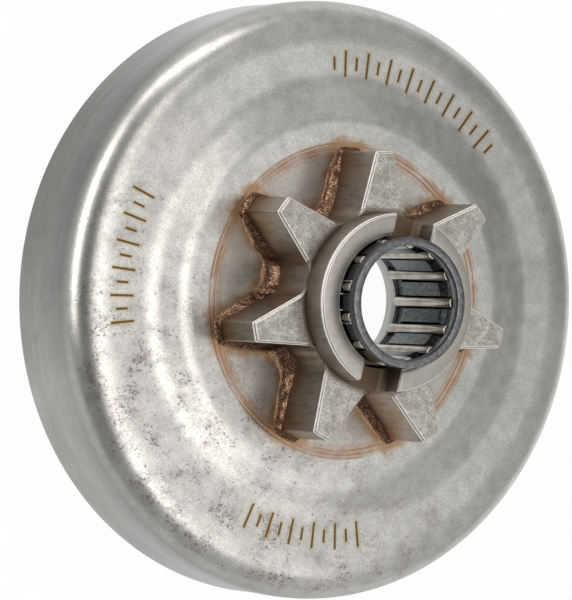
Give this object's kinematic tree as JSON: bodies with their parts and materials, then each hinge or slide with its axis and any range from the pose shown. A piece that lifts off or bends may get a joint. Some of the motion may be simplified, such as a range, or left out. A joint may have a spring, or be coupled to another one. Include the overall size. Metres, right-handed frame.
{
  "type": "chainsaw clutch drum",
  "caption": "Steel cup-shaped clutch drum with a spur sprocket brazed on its face, a notched collar and a caged needle bearing standing in its bore.",
  "frame": {"origin": "centre of the open rim's plane, on the drum's axis", "axes": "+Z along the axis from the open rim to the sprocket, +X along the middle of one tooth, the collar's notches on Y"},
  "size_m": [0.0734, 0.0734, 0.0311],
  "materials": {
    "drum_steel": "turned and tumbled",
    "sprocket_steel": "sintered, satin",
    "braze_copper": "rough copper braze",
    "cage_steel": "oiled dark steel",
    "roller_steel": "ground and polished"
  },
  "bodies": {
    "drum": {"drum_cup": "drum_steel", "spur_sprocket": "sprocket_steel", "copper_braze": "braze_copper"},
    "cage": {"bearing_cage": "cage_steel"},
    "roller_01": {"needle_roller_01": "roller_steel"},
    "roller_02": {"needle_roller_02": "roller_steel"},
    "roller_03": {"needle_roller_03": "roller_steel"},
    "roller_04": {"needle_roller_04": "roller_steel"},
    "roller_05": {"needle_roller_05": "roller_steel"},
    "roller_06": {"needle_roller_06": "roller_steel"},
    "roller_07": {"needle_roller_07": "roller_steel"},
    "roller_08": {"needle_roller_08": "roller_steel"},
    "roller_09": {"needle_roller_09": "roller_steel"},
    "roller_10": {"needle_roller_10": "roller_steel"},
    "roller_11": {"needle_roller_11": "roller_steel"},
    "roller_12": {"needle_roller_12": "roller_steel"},
    "roller_13": {"needle_roller_13": "roller_steel"}
  },
  "joints": [
    {"name": "cage_spin", "type": "hinge", "parent": "drum", "child": "cage", "pos_m": [0, 0, 0.02335], "axis": [0, 0, 1], "continuous": true},
    {"name": "roller_01_spin", "type": "hinge", "parent": "cage", "child": "roller_01", "pos_m": [0.00706, 0.00174, 0.02335], "axis": [0, 0, 1], "continuous": true},
    {"name": "roller_02_spin", "type": "hinge", "parent": "cage", "child": "roller_02", "pos_m": [0.00544, 0.00482, 0.02335], "axis": [0, 0, 1], "continuous": true},
    {"name": "roller_03_spin", "type": "hinge", "parent": "cage", "child": "roller_03", "pos_m": [0.00258, 0.0068, 0.02335], "axis": [0, 0, 1], "continuous": true},
    {"name": "roller_04_spin", "type": "hinge", "parent": "cage", "child": "roller_04", "pos_m": [-0.00088, 0.00722, 0.02335], "axis": [0, 0, 1], "continuous": true},
    {"name": "roller_05_spin", "type": "hinge", "parent": "cage", "child": "roller_05", "pos_m": [-0.00413, 0.00598, 0.02335], "axis": [0, 0, 1], "continuous": true},
    {"name": "roller_06_spin", "type": "hinge", "parent": "cage", "child": "roller_06", "pos_m": [-0.00644, 0.00338, 0.02335], "axis": [0, 0, 1], "continuous": true},
    {"name": "roller_07_spin", "type": "hinge", "parent": "cage", "child": "roller_07", "pos_m": [-0.00727, 0, 0.02335], "axis": [0, 0, 1], "continuous": true},
    {"name": "roller_08_spin", "type": "hinge", "parent": "cage", "child": "roller_08", "pos_m": [-0.00644, -0.00338, 0.02335], "axis": [0, 0, 1], "continuous": true},
    {"name": "roller_09_spin", "type": "hinge", "parent": "cage", "child": "roller_09", "pos_m": [-0.00413, -0.00598, 0.02335], "axis": [0, 0, 1], "continuous": true},
    {"name": "roller_10_spin", "type": "hinge", "parent": "cage", "child": "roller_10", "pos_m": [-0.00088, -0.00722, 0.02335], "axis": [0, 0, 1], "continuous": true},
    {"name": "roller_11_spin", "type": "hinge", "parent": "cage", "child": "roller_11", "pos_m": [0.00258, -0.0068, 0.02335], "axis": [0, 0, 1], "continuous": true},
    {"name": "roller_12_spin", "type": "hinge", "parent": "cage", "child": "roller_12", "pos_m": [0.00544, -0.00482, 0.02335], "axis": [0, 0, 1], "continuous": true},
    {"name": "roller_13_spin", "type": "hinge", "parent": "cage", "child": "roller_13", "pos_m": [0.00706, -0.00174, 0.02335], "axis": [0, 0, 1], "continuous": true}
  ],
  "couplings": [
    {"joint": "roller_01_spin", "follows": "cage_spin", "ratio": -10.72},
    {"joint": "roller_02_spin", "follows": "cage_spin", "ratio": -10.72},
    {"joint": "roller_03_spin", "follows": "cage_spin", "ratio": -10.72},
    {"joint": "roller_04_spin", "follows": "cage_spin", "ratio": -10.72},
    {"joint": "roller_05_spin", "follows": "cage_spin", "ratio": -10.72},
    {"joint": "roller_06_spin", "follows": "cage_spin", "ratio": -10.72},
    {"joint": "roller_07_spin", "follows": "cage_spin", "ratio": -10.72},
    {"joint": "roller_08_spin", "follows": "cage_spin", "ratio": -10.72},
    {"joint": "roller_09_spin", "follows": "cage_spin", "ratio": -10.72},
    {"joint": "roller_10_spin", "follows": "cage_spin", "ratio": -10.72},
    {"joint": "roller_11_spin", "follows": "cage_spin", "ratio": -10.72},
    {"joint": "roller_12_spin", "follows": "cage_spin", "ratio": -10.72},
    {"joint": "roller_13_spin", "follows": "cage_spin", "ratio": -10.72}
  ]
}
